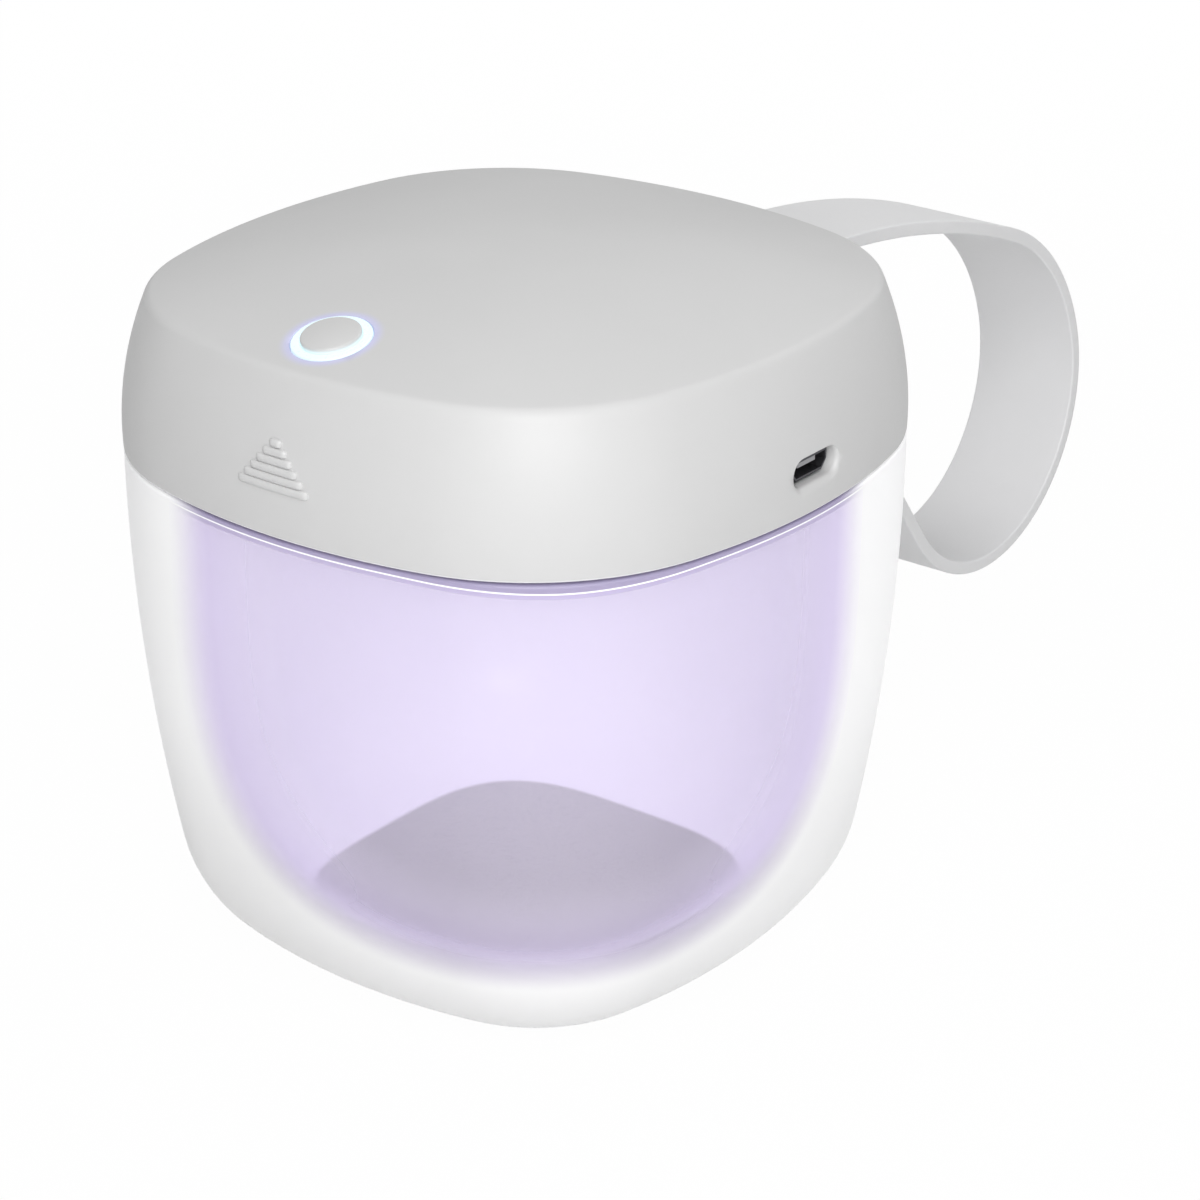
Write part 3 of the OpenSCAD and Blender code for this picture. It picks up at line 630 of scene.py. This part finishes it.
def knuckle_outline(side):
    """Knuckle round the hinge axis, with its web down (-1) or up (1) into the wall."""
    web, gap = 2.6 * KNUCKLE_R, PART_GAP / 2
    start, stop = radians(20), radians(180) + asin(gap / KNUCKLE_R)
    arc = [(KNUCKLE_R * cos(a), KNUCKLE_R * sin(a)) for a in np.linspace(-start, stop, 24)]
    inner = -HINGE_OUT - SHELL_WALL / 2
    points = arc + [(inner, -gap), (inner, -web), (-HINGE_OUT - 0.4, -web)]
    return [(HINGE_Y + y, HINGE_Z - side * z) for y, z in points]


def knuckles(name, body, material, spans, side):
    made = []
    for x0, x1 in spans:
        for s in (1, -1):
            o = extruded("knuckle", knuckle_outline(side), *sorted((s * x0, s * x1)))
            bevel(o, 0.25)
            bore = rod_along_x("bore", PIN_R + PIN_GAP, -40, 40, HINGE_Y, HINGE_Z)
            carve(o, [bore])
            made.append(o)
    piece(joined(name, made), body, material)


def base_hinge():
    mid, half = (LID_KNUCKLE + BASE_KNUCKLE) / 2 + KNUCKLE_GAP, BASE_KNUCKLE / 2
    spans = [(HINGE_X + s * mid - half, HINGE_X + s * mid + half) for s in (-1, 1)]
    knuckles("base_knuckles", "base", MATERIALS["base"], spans, -1)


def liner_body():
    out_floor, out_rise = CHAMBER_FLOOR - LINER_WALL, LINER_UP + LINER_WALL
    foot = foot_profile(LINER_OUT, out_floor, out_rise, LINER_IN + 1, 12)
    wall = wall_profile(base_inset, LINER_OUT, out_floor + out_rise, LEDGE_Z - 0.5, 24)[1:]
    flange_z, flange_out = LEDGE_Z + FLANGE_T, RIM_WALL + FLANGE_GAP
    flange = [(base_inset(LEDGE_Z) + LINER_OUT, LEDGE_Z), (flange_out, LEDGE_Z),
              (flange_out, flange_z), (base_inset(flange_z) + LINER_IN_WALL, flange_z)]
    inner = wall_profile(base_inset, LINER_IN_WALL, LEDGE_Z + 0.2, CHAMBER_FLOOR + LINER_UP, 26)
    floor = foot_profile(LINER_IN_WALL, CHAMBER_FLOOR, LINER_UP, LINER_IN, 12)[::-1][1:]
    path = foot + wall + flange + inner + floor
    k = len(foot) + len(wall)
    path = softened(path, {k: 0.25, k + 1: 0.2, k + 2: 0.25, k + 3: 0.4})
    cup = new_object("liner_body", *skin([ring(*p) for p in path]))
    piece(cup, "base", MATERIALS["liner"], ["chamber_liner"])


# ---------- Lid ----------
def lid_rings():
    """From the middle of the roof's underside, down inside, round the rim and over the top."""
    roof = [crown_ring(LID_WALL, f, LID_WALL) for f in np.linspace(0.04, 0.985, 24)]
    z_in = EDGE_Z - LID_WALL - 0.6
    inner = wall_profile(lid_inset, LID_WALL, z_in, LID_Z + 0.6, 16)
    rim = [(lid_inset(LID_Z) + LID_WALL, LID_Z), (lid_inset(LID_Z), LID_Z)]
    outer = wall_profile(lid_inset, 0, LID_Z + 0.8, EDGE_Z - EDGE_SOFT, 22)
    k = len(inner)
    path = softened(inner + rim + outer, {k: 0.35, k + 1: 0.45})
    side = [ring(*p) for p in path]
    a, b = side[-1], ring(LID_LEAN, EDGE_Z)
    f1 = 1 - EDGE_SOFT / HALF_W
    c = crown_ring(0, f1, 0)
    soft = curve(a, b, c, np.linspace(0.1, 1, 10))
    top = [crown_ring(0, f, 0) for f in np.linspace(f1, 0.02, 48)[1:]]
    return roof + side + soft + top


def stadium(w, h, grow, x, n=14):
    """Ring of a slot with round ends, in the YZ plane at x."""
    r, end = h / 2 + grow, (w - h) / 2
    out = []
    for s, a0 in ((1, -90), (-1, 90)):
        for i in range(n + 1):
            a = radians(a0 + 180 * i / n)
            out.append((x, PORT_Y + s * end + r * cos(a), PORT_Z + r * sin(a)))
    return np.array(out)


def port_cutter():
    """Slot with a rounded mouth."""
    mouth = [(-2 * LID_WALL, 0.0), (-0.75, 0.0), (-0.5, 0.06), (-0.25, 0.24),
             (0.0, 0.6), (0.5, 1.8)]
    rings = [stadium(PORT_W, PORT_H, grow, PORT_X + x) for x, grow in mouth]
    return new_object("port_cut", *skin(rings))


def button_cutter():
    """Hole for the light ring, with a soft lip at the lid's face."""
    r = RING_R + CAP_GAP
    profile = [(r, -2 * LID_WALL), (r, -0.2), (r + 0.05, -0.06), (r + 0.2, 0.06), (r + 1.2, 0.7)]
    return new_object("button_cut", *skin(lathe(profile, 128)), AT_BUTTON)


def lid_body():
    shell = new_object("lid_body", *skin(lid_rings()))
    carve(shell, [port_cutter(), button_cutter()])
    piece(shell, "lid", MATERIALS["lid"], ["lid_shell"], sharp=40)


def collar_and_bosses():
    d, r = BOARD_DEPTH, RING_R + FLANGE_W + CAP_GAP
    tube = [(COLLAR_R, -d), (COLLAR_R, -LID_WALL / 2), (r, -LID_WALL / 2), (r, -d)]
    made = [new_object("collar", *skin(lathe(tube), closed=True), AT_BUTTON)]
    f = SCREW_AT * sqrt(2) / (CORNER_C * sqrt(2) + CORNER_R - LID_LEAN)
    top = EDGE_Z + CROWN * (1 - f * f) - LID_WALL / 2
    hole = SCREW_R + PIN_GAP
    boss = [(hole, COVER_TOP), (BOSS_R - 0.2, COVER_TOP), (BOSS_R, COVER_TOP + 0.2),
            (BOSS_R, top), (hole, top)]
    for at in square_places(SCREW_AT):
        made.append(new_object("boss", *skin(lathe(boss, 48), closed=True), at))
    piece(joined("lid_inner_bosses", made), "lid", MATERIALS["lid"])


def rib(length, up, steps=24):
    """One ridge of the thumb grip: a low bar that follows the lid's front, with round ends."""
    half, foot = length / 2, 0.5 * RIB_PITCH
    z = PART_Z + up
    rings = []
    for x in -np.cos(np.linspace(0, np.pi, steps)) * half:
        share = min(1.0, (half - abs(x)) / 0.55)
        size = max(sqrt(max(0.0, 1 - (1 - share) ** 2)), 0.02)
        y0 = -SIDE_C - sqrt((SIDE_R - lid_inset(z)) ** 2 - x * x)
        out = []
        for a in np.linspace(0, 2 * np.pi, 25)[:-1]:
            n, t = cos(a), sin(a)
            depth = RIB_OUT * size * n**0.55 if n > 0 else 0.5 * n
            out.append((x, y0 - depth, z + foot * (0.4 + 0.6 * size) * t))
        rings.append(np.array(out))
    return new_object("rib", *skin(rings))


def thumb_ribs():
    made = [rib(RIB_L * (1 - i / RIB_N), RIB_UP + i * RIB_PITCH) for i in range(RIB_N)]
    piece(joined("thumb_ribs", made), "lid", MATERIALS["lid"], sharp=60)


def lid_hinge():
    spans = [(HINGE_X - LID_KNUCKLE / 2, HINGE_X + LID_KNUCKLE / 2)]
    knuckles("lid_knuckles", "lid", MATERIALS["lid"], spans, 1)


def ear_outline():
    arc = [(EAR_R * cos(a), EAR_R * sin(a)) for a in np.linspace(-np.pi / 2, np.pi / 2, 20)]
    inner = HALF_W - LID_WALL / 2 - BAR_Y
    top = EAR_R - inner / (3 * EAR_R)
    low = -EAR_R + inner * 0.5 / (3 * EAR_R)
    return [(BAR_Y + y, BAR_Z + z) for y, z in arc + [(inner, top), (inner, low)]]


def strap_ears():
    made = []
    for s in (1, -1):
        ends = sorted((s * EAR_X, s * (EAR_X + EAR_T)))
        o = extruded("ear", ear_outline(), *ends)
        bevel(o, 0.35)
        carve(o, [rod_along_x("bore", BAR_R + PIN_GAP / 2, -30, 30, BAR_Y, BAR_Z)])
        made.append(o)
    piece(joined("strap_ears", made), "lid", MATERIALS["lid"])


# ---------- Button ----------
def glow_ring():
    r0, r1 = CAP_R + CAP_GAP, RING_R
    top = 0.06
    low, foot, step = -LIP_T, r1 + FLANGE_W, r0 + CAP_FLANGE
    path = [(r0, low), (r0, top), (r1, top), (r1, low), (foot, low),
            (foot, low - FLANGE_H), (step, low - FLANGE_H), (step, low)]
    path = softened(path, {1: 0.12, 2: 0.22, 4: 0.15})
    obj = new_object("glow_ring", *skin(lathe(path, 128), closed=True), AT_BUTTON)
    piece(obj, "lid", MATERIALS["glow"], ["light_ring"])


def button_dome():
    stem_end, stem_r, flange_top = BOARD_DEPTH - 2, 1.4, -LIP_T - 0.1
    dome_h = CAP_UP - CAP_SIDE
    dome_r = (CAP_R**2 + dome_h**2) / (2 * dome_h)
    path = [(0.02, -stem_end), (stem_r, -stem_end), (stem_r, flange_top - CAP_FLANGE),
            (CAP_R + CAP_FLANGE, flange_top - CAP_FLANGE), (CAP_R + CAP_FLANGE, flange_top),
            (CAP_R, flange_top), (CAP_R, CAP_SIDE)]
    top = asin((CAP_R - 0.25) / dome_r)
    path += [(dome_r * sin(a), CAP_UP - dome_r * (1 - cos(a))) for a in np.linspace(top, 0.01, 22)]
    path = softened(path, {1: 0.15, 3: 0.15, 6: 0.3})
    obj = new_object("button_dome", *skin(lathe(path, 128)), AT_BUTTON)
    piece(obj, "button", MATERIALS["button"], ["button_cap"])


# ---------- Cover and seal ----------
def cover_body():
    skirt_in, low = SKIRT_OUT + SKIRT_T, COVER_Z - SKIRT_DROP
    rim = lid_inset(COVER_Z) + LID_WALL + COVER_GAP
    path = [(skirt_in + 12, COVER_Z), (skirt_in, COVER_Z), (skirt_in, low), (SKIRT_OUT, low),
            (SKIRT_OUT, COVER_Z), (rim, COVER_Z), (rim, COVER_TOP), (rim + 12, COVER_TOP)]
    path = softened(path, {1: 0.8, 2: 0.5, 3: 0.5, 4: 0.3, 5: 0.3, 6: 0.3})
    obj = new_object("cover_body", *skin([ring(*p) for p in path]))
    cuts = [solid_rod("cut", WINDOW_R - 1.5, COVER_Z - 1, COVER_TOP + 1, n=96),
            solid_rod("cut", WINDOW_R + 0.1, COVER_TOP - WINDOW_T, COVER_TOP + 2, n=96)]
    head_top = COVER_Z + HEAD_H + HEAD_SINK
    for at in square_places(SCREW_AT):
        cuts.append(solid_rod("cut", SCREW_R + CAP_GAP, COVER_Z - 1, COVER_TOP + 1, at))
        cuts.append(solid_rod("cut", 2 * SCREW_R + CAP_GAP, COVER_Z - 1, head_top, at))
    carve(obj, cuts)
    piece(obj, "lid", MATERIALS["cover"], ["inner_cover"])
    wall = [(LAMP_RING, COVER_TOP), (LAMP_RING, COVER_TOP + LAMP_UP),
            (WINDOW_R + 0.5, COVER_TOP + LAMP_UP), (WINDOW_R + 0.5, COVER_TOP)]
    made = [new_object("lamp_wall", *skin(lathe(wall), closed=True))]
    board_z = PORT_Z - BOARD_DROP
    board_x = LAMP_RING + BOARD_GAP, PORT_X - PORT_DEPTH - BOARD_GAP
    for y in STANDOFF_YS:
        for x in (board_x[0] + STANDOFF_IN, board_x[1] - STANDOFF_IN):
            at = Matrix.Translation((x, y, 0))
            made.append(solid_rod("standoff", STANDOFF_R, COVER_TOP, board_z, at))
    piece(joined("cover_standoffs", made), "lid", MATERIALS["cover"])


def seal_lip():
    path = [(SEAL_IN, SEAL_Z), (SEAL_OUT + 0.6, SEAL_Z), (SEAL_OUT, SEAL_Z + 0.5),
            (SEAL_OUT, COVER_Z), (SEAL_IN, COVER_Z)]
    path = softened(path, {0: 0.3, 1: 0.25, 2: 0.25, 3: 0.2, 4: 0.2})
    obj = new_object("seal_lip", *skin([ring(*p) for p in path], closed=True))
    piece(obj, "lid", MATERIALS["seal"], ["lid_seal"])


# ---------- Strap ----------
def strap_lines():
    """Middle line of the loop as (point, outward normal), and the eye's angles."""
    def unit(a):
        return np.array([sin(a), cos(a)])

    rt, low_a = radians(RUN_TURN), radians(RUN_TURN + BEND_TURN)
    run_c = np.array([0, EYE_MID - RUN_R])
    bend_c = run_c + (RUN_R - BEND_R) * unit(rt)
    low_c = bend_c + (BEND_R - LOW_R) * unit(low_a)
    end = atan2(low_c[0], low_c[1]) + acos((EYE_MID - LOW_R) / hypot(*low_c))
    end = end if end > low_a else end + 2 * np.pi
    arcs = [((0, 0), EYE_MID, end - 2 * np.pi, 0, 40), (run_c, RUN_R, 0, rt, 40),
            (bend_c, BEND_R, rt, low_a, 24), (low_c, LOW_R, low_a, end, 60)]
    line = []
    for c, r, a0, a1, n in arcs:
        turns = np.linspace(a0, a1, n, endpoint=False)
        line += [(np.array(c) + r * unit(a), unit(a)) for a in turns]
    n1, p0, p1 = unit(end), np.array(low_c) + LOW_R * unit(end), EYE_MID * unit(end)
    line += [(p0 + (p1 - p0) * s, n1) for s in np.linspace(0, 1, 30, endpoint=False)]
    web = [(EYE_MID * unit(a), unit(a)) for a in np.linspace(0.02, end - 0.02, 50)]
    return line, web


def band_section(w, t, r=0.3, n=5):
    """Rounded rectangle of the band, as (across, through)."""
    out = []
    for k, (sx, st) in enumerate(((1, 1), (-1, 1), (-1, -1), (1, -1))):
        for i in range(n + 1):
            a = radians(90 * k + 90 * i / n)
            out.append((sx * (w / 2 - r) + r * cos(a), st * (t / 2 - r) + r * sin(a)))
    return out


def sweep(line, section):
    """Rings of the section, as (across, through), at each (point, normal) of the line."""
    rings = []
    for (py, pz), (ny, nz) in line:
        y, z = BAR_Y + py, BAR_Z + pz
        rings.append(np.array([(x, y + t * ny, z + t * nz) for x, t in section]))
    return rings


def strap_loop():
    line, web = strap_lines()
    loop = new_object("loop", *skin(sweep(line, band_section(STRAP_W, STRAP_T)), closed=True))
    eye = new_object("eye", *skin(sweep(web, band_section(STRAP_W - 0.1, STRAP_T - 0.02))))
    band = joined("strap_loop", [loop, eye])
    piece(band, "strap", MATERIALS["strap"], ["strap"])


# ---------- Stage ----------
WORLD_LIGHT, WHITE = 0.20, (1.0, 1.0, 1.0, 1.0)
# Floor: half width (m), grey under the lamps, and its share of white near the case and beyond
FLOOR_HALF, FLOOR_GREY, FLOOR_WHITE, FLOOR_NEAR, FLOOR_FAR = 25.0, 0.82, 0.98, 0.12, 0.5


def seen_by_camera(tree):
    """1 for rays from the camera and for what it sees in gloss or through the window, else 0."""
    path = tree.nodes.new("ShaderNodeLightPath")
    seen = path.outputs["Is Camera Ray"]
    for extra in ("Is Glossy Ray", "Is Transmission Ray"):
        m = tree.nodes.new("ShaderNodeMath")
        m.operation = "MAXIMUM"
        tree.links.new(seen, m.inputs[0])
        tree.links.new(path.outputs[extra], m.inputs[1])
        seen = m.outputs[0]
    return seen


def make_world():
    world = bpy.data.worlds.new("studio")
    bpy.context.scene.world = world
    world.use_nodes = True
    tree = world.node_tree
    plain = tree.nodes["Background"]
    plain.inputs["Color"].default_value = WHITE
    plain.inputs["Strength"].default_value = WORLD_LIGHT
    white = tree.nodes.new("ShaderNodeBackground")
    white.inputs["Strength"].default_value = 1.0
    white.inputs["Color"].default_value = WHITE
    mix = tree.nodes.new("ShaderNodeMixShader")
    tree.links.new(seen_by_camera(tree), mix.inputs["Fac"])
    tree.links.new(plain.outputs[0], mix.inputs[1])
    tree.links.new(white.outputs[0], mix.inputs[2])
    tree.links.new(mix.outputs[0], tree.nodes["World Output"].inputs["Surface"])


def make_floor():
    mesh = bpy.data.meshes.new("floor")
    w = FLOOR_HALF
    mesh.from_pydata([(-w, -w, 0), (w, -w, 0), (w, w, 0), (-w, w, 0)], [], [(0, 1, 2, 3)])
    floor = add_object("floor", mesh)
    material = bpy.data.materials.new("floor")
    material.use_nodes = True
    tree = material.node_tree
    tree.nodes.clear()
    plain = tree.nodes.new("ShaderNodeBsdfDiffuse")
    plain.inputs["Color"].default_value = (FLOOR_GREY, FLOOR_GREY, FLOOR_GREY, 1.0)
    white = tree.nodes.new("ShaderNodeEmission")
    white.inputs["Color"].default_value = WHITE
    mix = tree.nodes.new("ShaderNodeMixShader")
    share = tree.nodes.new("ShaderNodeMath")
    share.operation = "MULTIPLY"
    place = tree.nodes.new("ShaderNodeTexCoord")
    away = tree.nodes.new("ShaderNodeVectorMath")
    away.operation = "LENGTH"
    fade = tree.nodes.new("ShaderNodeMapRange")
    for k, v in zip((1, 2, 3, 4), (FLOOR_NEAR, FLOOR_FAR, FLOOR_WHITE, 1.0)):
        fade.inputs[k].default_value = v
    tree.links.new(place.outputs["Object"], away.inputs[0])
    tree.links.new(away.outputs["Value"], fade.inputs[0])
    tree.links.new(fade.outputs[0], share.inputs[1])
    out = tree.nodes.new("ShaderNodeOutputMaterial")
    tree.links.new(seen_by_camera(tree), share.inputs[0])
    tree.links.new(share.outputs[0], mix.inputs["Fac"])
    tree.links.new(plain.outputs[0], mix.inputs[1])
    tree.links.new(white.outputs[0], mix.inputs[2])
    tree.links.new(mix.outputs[0], out.inputs["Surface"])
    mesh.materials.append(material)


# name: place (m), aimed at (m), size (m), power (W)
LAMPS = {
    "key": ((0.47, -0.52, 0.35), (0.0, 0.0, 0.05), 0.40, 3.7),
    "high": ((0.33, -0.37, 0.65), (0.0, 0.0, 0.05), 0.40, 1.4),
    "top": ((-0.10, 0.05, 0.80), (0.0, 0.0, 0.05), 0.60, 1.6),
    "back": ((0.05, 0.70, 0.45), (0.0, 0.0, 0.05), 0.50, 1.0),
}


def make_lamps():
    for name, (at, aim, size, power) in LAMPS.items():
        data = bpy.data.lights.new(name, "AREA")
        data.shape, data.size, data.energy = "DISK", size, power
        lamp = add_object(name, data)
        lamp.location = at
        lamp.rotation_mode = "QUATERNION"
        lamp.rotation_quaternion = (Vector(aim) - Vector(at)).to_track_quat("-Z", "Y")


# ---------- The whole ----------
# CAD nodes that are seen as they are, and their materials
NODE_MATERIALS = {
    "lid_magnet": "steel", "hinge_pins": "steel", "switch_board": "board",
    "tact_switch": "black", "ring_lamps": "lamp", "main_board": "board",
    "board_chips": "black", "port_can": "can", "port_tongue": "tongue", "lid_sensor": "black",
    "battery": "foil", "battery_pad": "foam", "battery_leads": "lead_red",
    "lamp_board": "board_white", "uv_lamps": "lamp", "lamp_window": "lens",
    "lamp_leads": "lead_white", "cover_screws": "steel", "strap_bar": "steel",
}


def build():
    make_camera()
    make_materials()
    base_body()
    base_hinge()
    liner_body()
    lid_body()
    collar_and_bosses()
    thumb_ribs()
    lid_hinge()
    strap_ears()
    glow_ring()
    button_dome()
    cover_body()
    seal_lip()
    strap_loop()
    for node, material in NODE_MATERIALS.items():
        dress(node, material)
    make_world()
    make_floor()
    make_lamps()
    bpy.context.scene.view_settings.view_transform = "Standard"


build()
